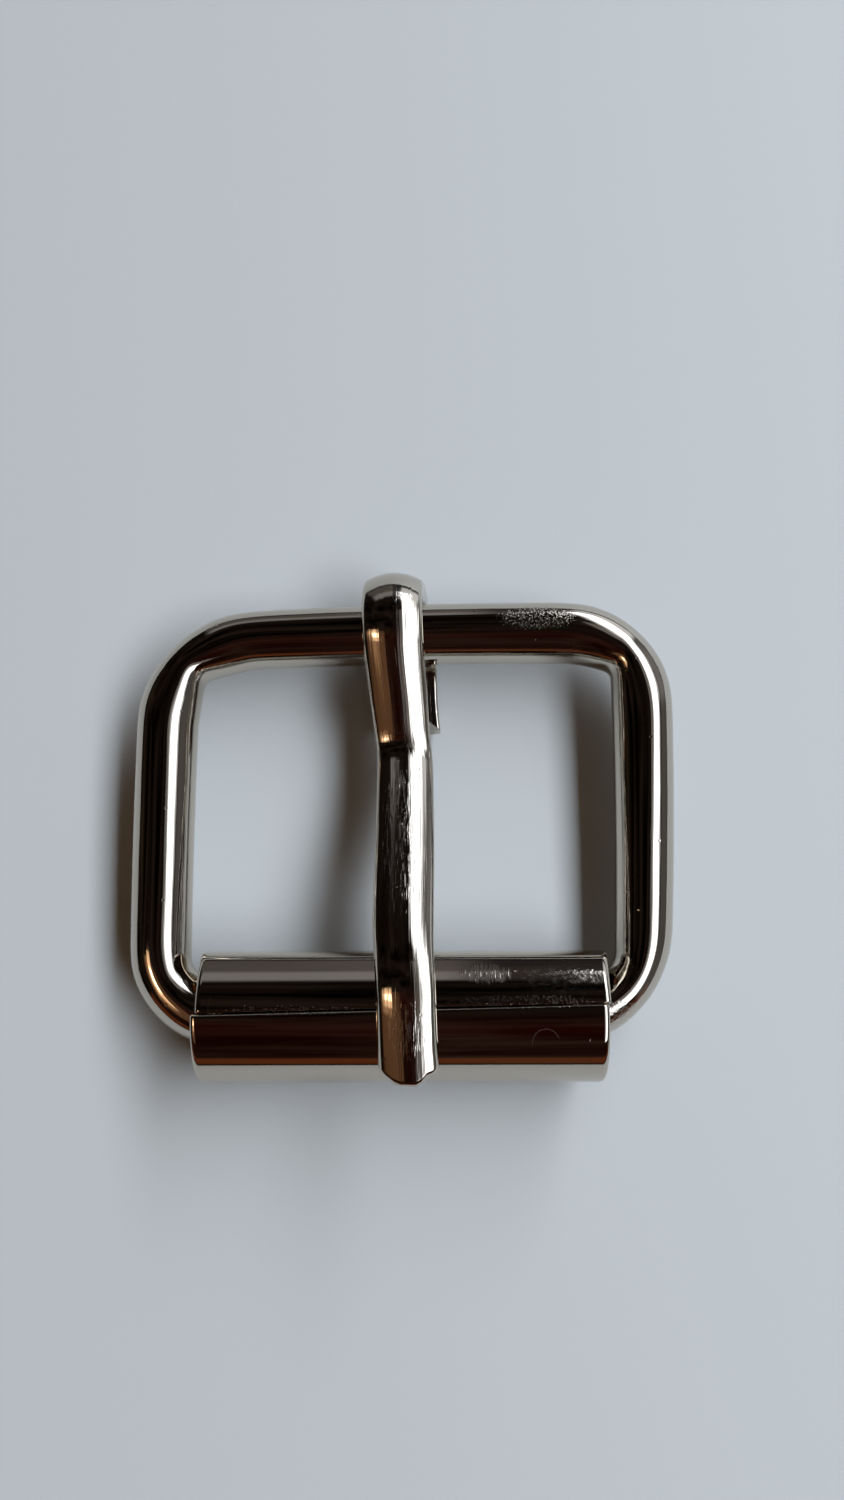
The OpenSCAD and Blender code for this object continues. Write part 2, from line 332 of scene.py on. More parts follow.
def roller_sheet(sizes):
    """Points of the rolled strip, rows along it and columns round the sheet's own section.

    The strip starts at the seam, runs round the outline and comes back to the seam. A column is a
    place round the sheet: outer face, rounded lip, inner face one thickness deeper, rounded lip.
    The rows at each end draw the sheet in along a quarter ellipse, (reach cos q, rim sin q), which
    rounds the rim, and the rows between them are spaced by (1 - cos) / 2."""
    outline, normal = roller_outline(sizes.outline_steps)
    step = np.linalg.norm(np.diff(outline, axis=0), axis=1)
    place = np.concatenate([[0], np.cumsum(step)])
    length = place[-1]
    sheet = sizes.sheet / MM
    rim = sizes.rim / MM
    half_gap = sizes.seam_gap / MM / 2

    share = np.linspace(0, 1, sizes.around_steps)
    lip = np.linspace(0, math.pi, sizes.lip_steps + 2)[1:-1]
    lip_r = sizes.lip / MM
    run = half_gap + share * (length - 2 * half_gap)
    run = np.concatenate([run, length - half_gap + 0 * lip, run[::-1], half_gap + 0 * lip])
    depth = np.concatenate([0 * share, (1 - np.cos(lip)) / 2, 1 + 0 * share, (1 + np.cos(lip)) / 2])
    from_edge = length / 2 - half_gap - np.abs(run - length / 2)
    edge_drop = 1 - np.sqrt(1 - np.clip(1 - from_edge / lip_r, 0, 1) ** 2)
    depth = 0.5 + (depth - 0.5) * (1 - edge_drop * lip_r / sheet * 2)

    quarter = np.linspace(0, math.pi / 2, sizes.rim_steps)
    span = (1 - np.cos(np.linspace(0, math.pi, sizes.length_steps)[1:-1])) / 2
    drop = rim * (1 - np.sin(quarter))
    inset = np.concatenate([drop, 0 * span, drop[::-1]])
    reach = sizes.rim_reach / MM
    back_off = reach * (1 - np.cos(quarter))
    from_left = np.concatenate([back_off, reach + 0 * span, reach + 0 * quarter])
    from_right = np.concatenate([reach + 0 * quarter, reach + 0 * span, back_off[::-1]])
    mix = np.concatenate([0 * quarter, span, 1 + 0 * quarter])

    turned = run / length
    left = ROLLER_LOW[0] + sizes.left_skew / MM * turned
    flare = sizes.right_flare / MM * bump(turned, FLARE_AT, FLARE_WIDTH)
    right = ROLLER_HIGH[0] + sizes.right_skew / MM * turned + flare
    x = (left + from_left[:, None]) * (1 - mix[:, None]) + (right - from_right[:, None]) * mix[:, None]

    seam_left, seam_right = sizes.seam_left / MM, sizes.seam_right / MM
    seam = seam_left + (seam_right - seam_left) * (x - ROLLER_LOW[0]) / (ROLLER_HIGH[0] - ROLLER_LOW[0])
    at = (run - seam) % length
    py, pz = (np.interp(at, place, outline[:, k]) for k in (0, 1))
    ny, nz = (np.interp(at, place, normal[:, k]) for k in (0, 1))
    south_lip = bump(run, 0, sizes.lip_reach / MM)
    north_lip = bump(run, length, sizes.lip_reach / MM)
    raised = sizes.south_raise / MM * south_lip + sizes.north_raise / MM * north_lip
    deep = inset[:, None] + (sheet - 2 * inset[:, None]) * depth - raised
    grid = np.stack([
        x,
        ROLLER_AXIS[1] + ROLLER_SHIFT - (py - ny * deep),
        ROLLER_HIGH[2] + pz - nz * deep,
    ], -1)
    along = np.append(x[:, 0] - ROLLER_LOW[0], 0)
    around = np.broadcast_to(np.append(run + sheet * depth, run[0]), (len(x), len(run) + 1))
    return grid, along, around


def tongue_path(sizes, spacing):
    """Heading of the tongue's flat by its length, integrated to points in its side view.

    The heading starts at 0 along the tail, climbs at the curl's steady rate to half a turn and the
    neck's dip, and then changes by each bend along its own arc. A point is the running sum of
    (cos, sin) of the heading, and the whole is moved so that the heading reaches half a turn at the
    top of the curl, one inner radius above the back bar's axis."""
    turn, radius = math.radians(CURL[0]), CURL[1]
    tail = sizes.tail / MM
    at_first = tail + math.pi * radius + sizes.neck / MM
    at_second = at_first + sizes.middle / MM
    length = np.arange(0, at_second + sizes.tip / MM, spacing)
    heading = turn * np.clip((length - tail) / (turn * radius), 0, 1)
    for (bend, bend_r), at in zip(BENDS, (at_first, at_second)):
        half = abs(math.radians(bend)) * bend_r * sizes.bend_spread / 2
        heading += math.radians(bend) * smooth_step(length, at - half, at + half)
    y = np.cumsum(np.cos(heading)) * spacing
    z = np.cumsum(np.sin(heading)) * spacing
    top = np.argmax(heading >= math.pi)
    return length - length[top], y - y[top], z - z[top] + radius, heading


def tongue_wire(sizes):
    """Points of the tongue, rows along it and columns round its D section.

    The section is a crown between two tighter shoulders, over upright sides and a flat with eased
    edges. Where the face leans by angle a, x = crown radius times sin a up to the shoulder and
    shoulder radius times the rest of sin a beyond it, and its height falls by the same radii times
    the change of cos a. The crown rises to a low ridge by a slope times the distance from it, and past
    the second bend it leans to one side by a slope times x. Each station is square to the heading,
    and the rows next to the tip are drawn in to round its edge. Both ends are closed by the last
    section at smaller sizes, and are cut by moving the points along the heading: the tip by a table
    over its width, and the tail by a slope times x."""
    along, y, z, heading = tongue_path(sizes, sizes.tongue_step / MM)
    places, *columns = np.array(SECTIONS).T
    side, width, crown, shoulder, ridge = (np.interp(along, places, column) for column in columns)
    blur = int(SECTION_BLUR / (sizes.tongue_step / MM))
    kernel = bump(np.arange(-3 * blur, 3 * blur + 1), 0, blur)
    kernel /= kernel.sum()
    side, width = (np.convolve(np.pad(row, 3 * blur, mode="edge"), kernel, "valid")
                   for row in (side, width))

    thick = sizes.thick / MM
    ease = sizes.edge / MM
    half = width[:, None] / 2
    crown, shoulder, ridge = crown[:, None], shoulder[:, None], ridge[:, None]
    meet = np.arcsin((half - shoulder) / (crown - shoulder))
    share = np.linspace(1, -1, sizes.dome_steps)
    arc = np.abs(share) * (crown * meet + shoulder * (math.pi / 2 - meet))
    inner = np.minimum(arc / crown, meet)
    outer = meet + np.maximum(arc - crown * meet, 0) / shoulder
    dome_x = np.sign(share) * (crown * np.sin(inner) + shoulder * (np.sin(outer) - np.sin(meet)))
    dome_h = thick - crown * (1 - np.cos(inner)) - shoulder * (np.cos(meet) - np.cos(outer))
    off_ridge = dome_x - ridge
    dome_h = dome_h - sizes.roof * np.hypot(off_ridge, RIDGE_BLUNT)
    dome_h = dome_h + sizes.tip_lean * smooth_step(along, LEAN_FROM, LEAN_TO)[:, None] * dome_x
    for place, height, reach in DIE_LINES:
        dome_h = dome_h + height * bump(off_ridge, place, reach)
    q = np.linspace(0, math.pi / 2, sizes.edge_steps)
    flat = np.linspace(-1, 1, sizes.flat_steps)[1:-1]
    x = np.concatenate([
        dome_x,
        -half + ease * (1 - np.cos(q)),
        flat * (half - ease),
        half - ease * (1 - np.cos(q[::-1])),
    ], axis=1)
    h = np.concatenate([
        dome_h,
        ease * (1 - np.sin(q)) + 0 * half,
        0 * flat + 0 * half,
        ease * (1 - np.sin(q[::-1])) + 0 * half,
    ], axis=1)

    ends = len(END_SHARES)
    share = np.concatenate([END_SHARES, np.ones(len(along)), END_SHARES[::-1]])[:, None]
    along, y, z, heading, side = (np.pad(row, ends, mode="edge") for row in (along, y, z, heading, side))
    x, h, half = (np.pad(block, ((ends, ends), (0, 0)), mode="edge") for block in (x, h, half))
    from_tip = (along[-1] - along)[:, None]
    from_tail = (along - along[0])[:, None]
    round_off = sizes.tip_round / MM
    near_tip = np.clip(round_off - from_tip, 0, None)
    inset = round_off - np.sqrt(np.clip(round_off ** 2 - near_tip ** 2, 0, None))
    x = x * (1 - inset / half) * share
    h = thick / 2 + (h - thick / 2) * (1 - inset / (thick / 2)) * share
    cut = np.array(TIP_CUT)
    lag = np.interp(x / half, cut[:, 0], cut[:, 1]) * smooth_step(-from_tip, -CUT_REACH, 0.0)
    slant = sizes.tail_slant * np.maximum(x - half, -SLANT_WIDTH) * (1 - h / thick)
    slant = slant * smooth_step(-from_tail, -CUT_REACH, 0.0)
    shift = -lag - slant

    head = heading[:, None]
    grid = np.stack([
        side[:, None] + x,
        BACK_BAR[1] + y[:, None] + h * np.sin(head) + shift * np.cos(head),
        BACK_BAR[2] + z[:, None] - h * np.cos(head) + shift * np.sin(head),
    ], -1)
    around = np.concatenate([[0], np.cumsum(np.hypot(np.diff(x[ends]), np.diff(h[ends])))])
    around = np.broadcast_to(np.append(around, around[-1] + CLOSING_SIDE), (len(along), x.shape[1] + 1))
    return grid, np.append(along, along[-1]), around


def new_group(name, inputs, output):
    """An empty shader node group: its tree, and the sockets inside it to link from and to.

    Its first input is the vector of a place or a direction. The others are given as labels and
    defaults, where a tuple makes a vector and a number a float. The one output is a float."""
    tree = bpy.data.node_groups.new(name, "ShaderNodeTree")
    for label, default in {"Vector": (0, 0, 0), **inputs}.items():
        kind = "NodeSocketVector" if isinstance(default, tuple) else "NodeSocketFloat"
        tree.interface.new_socket(label, in_out="INPUT", socket_type=kind).default_value = default
    tree.interface.new_socket(output, in_out="OUTPUT", socket_type="NodeSocketFloat")
    return tree, tree.nodes.new("NodeGroupInput").outputs, tree.nodes.new("NodeGroupOutput").inputs[output]


def node(tree, kind, inputs=(), **settings):
    """A new shader node with its settings and its inputs, each a value or a socket to link from."""
    made = tree.nodes.new("ShaderNode" + kind)
    for key, value in settings.items():
        setattr(made, key, value)
    for key, value in dict(inputs).items():
        if isinstance(value, bpy.types.NodeSocket):
            tree.links.new(value, made.inputs[key])
        else:
            made.inputs[key].default_value = value
    return made


def maths(tree, operation, a, b=0.0):
    """The result of a Math node on two values or sockets."""
    return node(tree, "Math", {0: a, 1: b}, operation=operation).outputs[0]


def vectors(tree, operation, a, b=(0, 0, 0)):
    """The result of a Vector Math node on two vectors or sockets."""
    made = node(tree, "VectorMath", {0: a, 1: b}, operation=operation)
    return made.outputs["Value" if operation in ("LENGTH", "DOT_PRODUCT") else "Vector"]


def scaled(tree, vector, factor):
    """A vector times a number, as a Vector Math node."""
    return node(tree, "VectorMath", {0: vector, "Scale": factor}, operation="SCALE").outputs[0]


def ramp(tree, value, low, high, kind="SMOOTHSTEP"):
    """0 at low, 1 at high and a smooth or linear way between them, as a Map Range node."""
    sockets = {"Value": value, "From Min": low, "From Max": high}
    return node(tree, "MapRange", sockets, interpolation_type=kind).outputs[0]


def use_group(tree, name, vector, inputs):
    """The result of the node group of that name for a vector and its other inputs."""
    inputs = {"Vector": vector, **inputs}
    return node(tree, "Group", inputs, node_tree=bpy.data.node_groups[name]).outputs[0]


def drawn_lines_group():
    """Lines that the drawing die leaves along the wire: noise that is stretched along U, as height."""
    tree, enter, leave = new_group("Drawn lines", {"Lines per mm": 6.0, "Stretch": 0.02}, "Height")
    split = node(tree, "SeparateXYZ", {0: enter["Vector"]})
    u = maths(tree, "MULTIPLY", split.outputs[0], enter["Stretch"])
    stretched = node(tree, "CombineXYZ", {0: u, 1: split.outputs[1]})
    noise = node(tree, "TexNoise", {
        "Vector": stretched.outputs[0], "Scale": enter["Lines per mm"], "Detail": 3.0, "Roughness": 0.6})
    tree.links.new(noise.outputs["Fac"], leave)


def pits_group():
    """Fine pits and specks: small cells, some of which have a dimple in the middle. Each cell's own
    random colour chooses whether it has one."""
    tree, enter, leave = new_group("Plating pits", {"Scale": 3000.0, "Share": 0.3}, "Pits")
    cells = node(tree, "TexVoronoi", {"Vector": enter["Vector"], "Scale": enter["Scale"]})
    dimple = ramp(tree, cells.outputs["Distance"], 0.32, 0.12)
    split = node(tree, "SeparateColor", {0: cells.outputs["Color"]})
    chosen = maths(tree, "LESS_THAN", split.outputs[0], enter["Share"])
    tree.links.new(maths(tree, "MULTIPLY", dimple, chosen), leave)


def scuff_group():
    """Patch of fine scratches: noise, squeezed along each axis by its own scale, is faded out towards
    the edge of an ellipsoid and cut at a level."""
    tree, enter, leave = new_group(
        "Scuff patch",
        {"Middle": (0, 0, 0), "Reach": (1, 1, 1), "Scratches": (1, 1, 1), "Level": 0.6},
        "Scuffs")
    off = vectors(tree, "SUBTRACT", enter["Vector"], enter["Middle"])
    far = vectors(tree, "LENGTH", vectors(tree, "DIVIDE", off, enter["Reach"]))
    inside = ramp(tree, far, 1.0, 0.4)
    squeezed = vectors(tree, "MULTIPLY", enter["Vector"], enter["Scratches"])
    noise = node(tree, "TexNoise", {"Vector": squeezed, "Scale": 1.0, "Detail": 2.0})
    faded = maths(tree, "MULTIPLY", noise.outputs["Fac"], inside)
    full = maths(tree, "ADD", enter["Level"], 0.16)
    tree.links.new(ramp(tree, faded, enter["Level"], full, "LINEAR"), leave)


def arc_group():
    """One thin scratch in plan: the ring at a radius round a middle, kept above the middle and on one
    side of a line at a distance from it."""
    tree, enter, leave = new_group(
        "Arc scratch",
        {"Middle": (0, 0, 0), "Radius": 1.0, "Width": 0.1, "Towards": (1, 0, 0), "Kept from": 0.0},
        "Scratch")
    off = vectors(tree, "SUBTRACT", enter["Vector"], enter["Middle"])
    flat = vectors(tree, "MULTIPLY", off, (1, 1, 0))
    miss = maths(tree, "ABSOLUTE", maths(tree, "SUBTRACT", vectors(tree, "LENGTH", flat), enter["Radius"]))
    line = ramp(tree, miss, enter["Width"], 0.0, "LINEAR")
    side = vectors(tree, "DOT_PRODUCT", flat, enter["Towards"])
    kept = maths(tree, "GREATER_THAN", side, enter["Kept from"])
    split = node(tree, "SeparateXYZ", {0: off})
    above = maths(tree, "GREATER_THAN", split.outputs[2], 0.0)
    tree.links.new(maths(tree, "MULTIPLY", line, maths(tree, "MULTIPLY", kept, above)), leave)


# Marks that drawing and plating leave on each piece
DRAWING = {
    # depth of the lines in millimetres, lines per millimetre, share of the cells that have a pit
    "Frame nickel": (0.004, 4.0, 0.05),
    "Roller nickel": (0.001, 2.0, 0.02),
    "Tongue nickel": (0.012, 4.0, 0.05),
}
# Share by which the blur of the mirror varies from line to line
BLUR_SPREAD = 0.3

# Wear that shows in the photo: patches of fine scratches and single curved ones, in millimetres
SCUFFS = {
    "Roller nickel": (
        # middle, reach, scratches per millimetre along each axis, level, share of the full blur
        ((4.6, -9.1, 6.7), (2.6, 1.1, 1.4), (9.0, 0.9, 0.9), 0.43, 0.5),
        ((8.6, -9.6, 6.7), (4.6, 2.0, 1.6), (3.0, 5.0, 5.0), 0.44, 0.25),
        ((10.0, -9.3, 6.6), (2.4, 1.0, 1.4), (4.0, 4.0, 4.0), 0.50, 0.25),
        ((6.5, -10.6, 7.3), (7.5, 0.7, 1.4), (7.5, 7.5, 7.5), 0.46, 0.55),
        ((-6.0, -11.0, 7.4), (7.5, 0.5, 1.4), (7.5, 7.5, 7.5), 0.49, 1.0),
    ),
    "Frame nickel": (
        ((8.0, 12.0, 5.4), (4.2, 1.4, 1.8), (7.0, 7.0, 7.0), 0.46, 1.0),
        ((12.6, -11.4, 3.9), (2.0, 1.5, 2.0), (5.0, 5.0, 5.0), 0.38, 1.0),
    ),
    "Tongue nickel": (
        ((-0.2, -2.0, 7.0), (2.0, 12.0, 5.0), (11.0, 0.8, 0.8), 0.50, 1.0),
        ((0.3, -12.0, 9.5), (2.0, 3.0, 2.0), (9.0, 1.2, 1.2), 0.50, 0.8),
        ((-1.3, 7.6, 8.6), (1.2, 4.0, 2.5), (8.0, 2.0, 2.0), 0.42, 0.8),
        ((0.2, 12.6, 7.6), (1.6, 1.2, 1.5), (2.5, 2.5, 2.5), 0.50, 1.0),
    ),
}
ARCS = {
    "Roller nickel": (
        # middle, radius, half width, side kept, how far from the middle
        ((7.86, -12.80, 0.0), 0.74, 0.035, (-0.26, 0.97, 0.0), 0.05),
        ((-7.7, -11.1, 0.0), 3.0, 0.03, (-1.0, 0.13, 0.0), 2.99),
    ),
}


def nickel(name, look, roughness):
    """Bright nickel plate over drawn steel: a mirror with a warm grey tint, blurred a little along
    drawing lines, with fine pits and the piece's own scratches, which blur it more."""
    line_depth, lines_per_mm, pit_share = DRAWING[name]
    material = bpy.data.materials.new(name)
    material.use_nodes = True
    tree = material.node_tree
    tree.nodes.clear()
    place = node(tree, "TexCoord").outputs
    lines = use_group(tree, "Drawn lines", place["UV"], {"Lines per mm": lines_per_mm})
    pits = use_group(tree, "Plating pits", place["Object"], {"Share": pit_share})
    dents = maths(tree, "MULTIPLY", pits, look.pit_depth / MM)
    height = maths(tree, "SUBTRACT", maths(tree, "MULTIPLY", lines, line_depth), dents)
    worn = node(tree, "MapRange", {
        "Value": lines, "From Min": 0.3, "From Max": 0.7, "To Min": roughness * (1 - BLUR_SPREAD),
        "To Max": roughness * (1 + BLUR_SPREAD)}).outputs[0]
    for middle, reach, scratches, level, share in SCUFFS[name]:
        patch = use_group(tree, "Scuff patch", place["Object"], {
            "Middle": Vector(middle) * MM, "Reach": Vector(reach) * MM,
            "Scratches": Vector(scratches) / MM, "Level": level})
        worn = maths(tree, "ADD", worn, maths(tree, "MULTIPLY", patch, look.scuff_blur * share))
        cuts = maths(tree, "MULTIPLY", patch, look.scuff_depth * share / MM)
        height = maths(tree, "SUBTRACT", height, cuts)
    for middle, radius, width, towards, kept in ARCS.get(name, ()):
        arc = use_group(tree, "Arc scratch", place["Object"], {
            "Middle": Vector(middle) * MM, "Radius": radius * MM, "Width": width * MM,
            "Towards": towards, "Kept from": kept * MM})
        worn = maths(tree, "ADD", worn, maths(tree, "MULTIPLY", arc, look.scuff_blur))
    relief = node(tree, "Bump", {"Height": height, "Distance": MM, "Strength": 1.0})
    shader = node(tree, "BsdfPrincipled", {
        "Base Color": (*look.nickel_tint, 1), "Metallic": 1.0, "Roughness": worn,
        "Normal": relief.outputs[0]})
    node(tree, "OutputMaterial", {0: shader.outputs[0]})


def number_property(name, description, default, **settings):
    """A number, which has no unit unless the settings give one."""
    return bpy.props.FloatProperty(name=name, description=description, default=default, **settings)


def length_property(name, description, millimetres):
    """A size in metres whose default is given in millimetres."""
    return number_property(name, description, millimetres * MM, unit="LENGTH", precision=5)


def angle_property(name, description, degrees):
    """An angle in radians whose default is given in degrees."""
    return number_property(name, description, math.radians(degrees), subtype="ANGLE")


def count_property(name, description, default):
    """A whole number."""
    return bpy.props.IntProperty(name=name, description=description, default=default)


def colour_property(name, description, default):
    """A linear colour."""
    return bpy.props.FloatVectorProperty(name=name, description=description, default=default, size=3,
                                         subtype="COLOR")


class BuckleFrameSizes(bpy.types.PropertyGroup):
    """Sizes of the bent wire frame."""
    sides: count_property("Sides", "Points round the wire", 88)
    stations: count_property("Stations", "Points along the wire", 880)
    side_steps: count_property("Side steps", "Steps between two arcs", 12)
    bend_steps: count_property("Bend steps", "Points round each arc", 13)
    bend_softness: length_property("Bend softness", "How gradually one arc passes into the next", 0.9)
    crease_softness: length_property("Crease softness", "How blunt the crease inside a corner is", 0.22)
    crest_lean: number_property("Crest lean", "How far the wire's crest leans inwards in a bend", -0.14)
    bend_rise: number_property("Bend rise", "Share by which the wire is higher in a bend", 0.05)
    left_bow: length_property("Left bow", "How far the left bar bows outwards", 0.15)
    right_bow: length_property("Right bow", "How far the right bar bows outwards", 0.22)
    back_bow: length_property("Back bow", "How far the back bar bows outwards", 0.35)


class BuckleRollerSizes(bpy.types.PropertyGroup):
    """Sizes of the rolled sheet."""
    outline_steps: count_property("Outline steps", "Steps of the outline", 1440)
    around_steps: count_property("Around steps", "Points round each face", 260)
    length_steps: count_property("Length steps", "Rows along the roller", 60)
    rim_steps: count_property("Rim steps", "Rows round each rim", 8)
    lip_steps: count_property("Lip steps", "Points round each lip", 4)
    sheet: length_property("Sheet", "Thickness of the sheet", 0.85)
    rim: length_property("Rim", "How deep the rounded edge at each end is", 0.21)
    rim_reach: length_property("Rim reach", "How far the rounded edge runs along the roller", 0.32)
    lip: length_property("Lip", "Radius of the rounded edge at the seam", 0.12)
    seam_gap: length_property("Seam gap", "Width of the butt seam", 0.06)
    seam_left: length_property("Seam left", "Place of the seam north of the crest at the left end", 0.18)
    seam_right: length_property("Seam right", "Place of the seam north of the crest at the right end", 0.72)
    left_skew: length_property("Left skew", "How far the strip's left edge runs off once round", 0.24)
    right_skew: length_property("Right skew", "How far the strip's right edge runs off once round", 0.12)
    right_flare: length_property("Right flare", "How far the right edge stands out on the north side", 0.20)
    lip_reach: length_property("Lip reach", "How far from the seam the lips are bent", 0.5)
    south_raise: length_property("South raise", "How far the south lip stands up", 0.04)
    north_raise: length_property("North raise", "How far the north lip stands up", -0.02)


class BuckleTongueSizes(bpy.types.PropertyGroup):
    """Sizes of the tongue."""
    tail: length_property("Tail", "Length of the tail from below the bar to its cut end", 5.75)
    neck: length_property("Neck", "Length from the top of the curl to the first bend", 7.65)
    middle: length_property("Middle", "Length from the first bend to the second", 14.87)
    tip: length_property("Tip", "Length from the second bend to the end", 5.3)
    thick: length_property("Thickness", "Thickness of the wire over its flat", 1.85)
    edge: length_property("Edge", "Radius of the eased edges of the flat", 0.2)
    bend_spread: number_property("Bend spread", "Length of each bend as a multiple of its arc", 1.8)
    tip_round: length_property("Tip round", "Radius of the worn edge at the tip", 0.45)
    roof: number_property("Roof", "Slope by which the crown rises to its ridge", 0.03)
    tip_lean: number_property("Tip lean", "Slope by which the crown leans sideways at the tip", 0.05)
    tail_slant: number_property("Tail slant", "Slope of the sheared end across the tail", 0.8)
    tongue_step: length_property("Step", "Distance between stations", 0.08)
    dome_steps: count_property("Dome steps", "Points over the dome", 97)
    edge_steps: count_property("Edge steps", "Points round each eased edge", 6)
    flat_steps: count_property("Flat steps", "Points across the flat", 10)


class BuckleFinish(bpy.types.PropertyGroup):
    """Colour and surface of the nickel plate."""
    nickel_tint: colour_property("Nickel tint", "Reflection colour of the plate", (0.55, 0.50, 0.43))
    frame_roughness: number_property("Frame roughness", "Blur of the frame's mirror", 0.065)
    roller_roughness: number_property("Roller roughness", "Blur of the roller's mirror", 0.05)
    tongue_roughness: number_property("Tongue roughness", "Blur of the tongue's mirror", 0.08)
    pit_depth: length_property("Pit depth", "Depth of the pits in the plate", 0.004)
    scuff_blur: number_property("Scuff blur", "How much a scratch adds to the mirror's blur", 0.20)
    scuff_depth: length_property("Scuff depth", "Depth of the scratches in a scuffed patch", 0.004)


class BuckleStage(bpy.types.PropertyGroup):
    """Camera and floor."""
    lens: number_property("Lens", "Focal length in millimetres", 27.6, unit="CAMERA")
    camera_tilt: angle_property("Camera tilt", "Lean of the view north from straight down", 10.77)
    camera_roll: angle_property("Camera roll", "Turn of the view about its axis", -0.14)
    camera_place: bpy.props.FloatVectorProperty(
        name="Camera place", description="Place of the lens", subtype="TRANSLATION", size=3,
        default=(1.10 * MM, -8.80 * MM, 72.18 * MM))
    floor_colour: colour_property("Floor colour", "Colour of the pale floor", (0.42, 0.447, 0.474))
    floor_roughness: number_property("Floor roughness", "Roughness of the floor", 0.6)
    floor_half: length_property("Floor half", "Distance from the buckle to the floor's edges", 3000)


class BUCKLE_OT_finish(bpy.types.Operator):
    """Build the node groups and the three nickel materials"""
    bl_idname = "buckle.finish"
    bl_label = "Nickel finish"

    def execute(self, context):
        look = context.scene.buckle_finish
        drawn_lines_group()
        pits_group()
        scuff_group()
        arc_group()
        nickel("Frame nickel", look, look.frame_roughness)
        nickel("Roller nickel", look, look.roller_roughness)
        nickel("Tongue nickel", look, look.tongue_roughness)
        return {"FINISHED"}


class BUCKLE_OT_frame(bpy.types.Operator):
    """Bend the wire frame, in place of its solid"""
    bl_idname = "buckle.frame"
    bl_label = "Wire frame"

    def execute(self, context):
        points = frame_wire(context.scene.buckle_frame)
        piece = surface("wire_frame", *points, bpy.data.materials["Frame nickel"], closed=True)
        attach(piece, "frame")
        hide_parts("frame")
        return {"FINISHED"}


class BUCKLE_OT_roller(bpy.types.Operator):
    """Roll the sheet round the front bar, in place of its solid"""
    bl_idname = "buckle.roller"
    bl_label = "Roller"

    def execute(self, context):
        points = roller_sheet(context.scene.buckle_roller)
        piece = surface("sheet_roller", *points, bpy.data.materials["Roller nickel"])
        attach(piece, "roller")
        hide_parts("roller")
        return {"FINISHED"}


class BUCKLE_OT_tongue(bpy.types.Operator):
    """Curl and crank the tongue, in place of its solid"""
    bl_idname = "buckle.tongue"
    bl_label = "Tongue"

    def execute(self, context):
        points = tongue_wire(context.scene.buckle_tongue)
        piece = surface("curled_tongue", *points, bpy.data.materials["Tongue nickel"])
        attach(piece, "tongue")
        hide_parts("tongue")
        return {"FINISHED"}


# Level lights over the stage, which shine down. Each is seen either by matt faces or in mirrors. It is
# given by its corner at -X and -Y, its size along X and Y in metres, its radiance and its colour.
MATT = "matt faces"
MIRRORS = "mirrors"
PANES = (
    # name, seen by, corner, size, radiance, colour
    ("Daylight", MATT, (0.54, -0.80, 1.2), (0.56, 3.4), 10.9, (0.935, 0.985, 1.02)),
    ("Window", MIRRORS, (0.50, -1.08, 1.05), (0.66, 4.0), 2.6, (0.87, 0.94, 1.06)),
    ("Curtain", MIRRORS, (0.43, -1.15, 1.1), (1.03, 4.1), 0.9, (0.90, 0.95, 1.04)),
    ("Window frame", MIRRORS, (0.27, -1.15, 1.1), (0.16, 1.8), 0.2, (1.0, 0.96, 0.98)),
    ("Lamp", MIRRORS, (-0.80, -0.40, 0.90), (0.20, 0.16), 4.5, (1.0, 0.76, 0.54)),
    ("Lamp shade", MIRRORS, (-0.90, -0.58, 0.95), (0.30, 0.46), 1.3, (1.0, 0.66, 0.40)),
    ("Lamp halo", MIRRORS, (-1.15, -0.80, 1.0), (0.42, 0.62), 0.32, (1.0, 0.60, 0.33)),
    ("Lamp glow", MIRRORS, (-1.60, -1.20, 1.1), (1.15, 0.98), 0.12, (1.0, 0.52, 0.26)),
    ("Lamplight", MATT, (-1.10, -0.76, 1.0), (0.52, 0.48), 0.15, (1.0, 0.60, 0.33)),
)

# Faint glow of the surroundings: azimuth and half-width, lowest and highest elevation in degrees,
# how soft its edges are, and its radiance by colour
GLOWS = (
    # azimuth, half width, low, high, softness, radiance
    (105, 17.4, 3, 31, 1.5, (0.095, 0.09, 0.09)),  # north glow
    (105, 17.4, 20, 31, 2.5, (0.15, 0.155, 0.17)),  # upper north glow
    (84, 10, 3, 31, 3, (0.025, 0.023, 0.026)),  # north by east glow
    (40, 26, 4, 31, 4, (0.13, 0.13, 0.14)),  # north-east glow
    (63, 15, 6, 34, 3, (0.75, 0.80, 0.88)),  # window foot
    (270, 60, 3, 15, 2, (0.105, 0.026, 0.006)),  # south glow
    (270, 60, 57, 76, 4, (0.018, 0.002, 0.001)),  # south haze
    (270, 60, 13, 57, 3, (0.009, 0.001, 0.0)),  # low south haze
    (180, 30, 12, 25, 6, (0.010, 0.007, 0.004)),  # west glow
    (0, 40, 0, 33, 4, (0.09, 0.09, 0.09)),  # east glow
)
# Radiance of the dark room between them, of what matt faces get and of what the camera sees
ROOM = (0.009, 0.006, 0.0048)
FILL = (0.085, 0.045, 0.014)
BACKDROP = (0.50, 0.54, 0.58)

# Long side of the camera's sensor in millimetres, and its nearest and farthest sight in metres
SENSOR = 36
NEAREST, FARTHEST = 0.001, 20


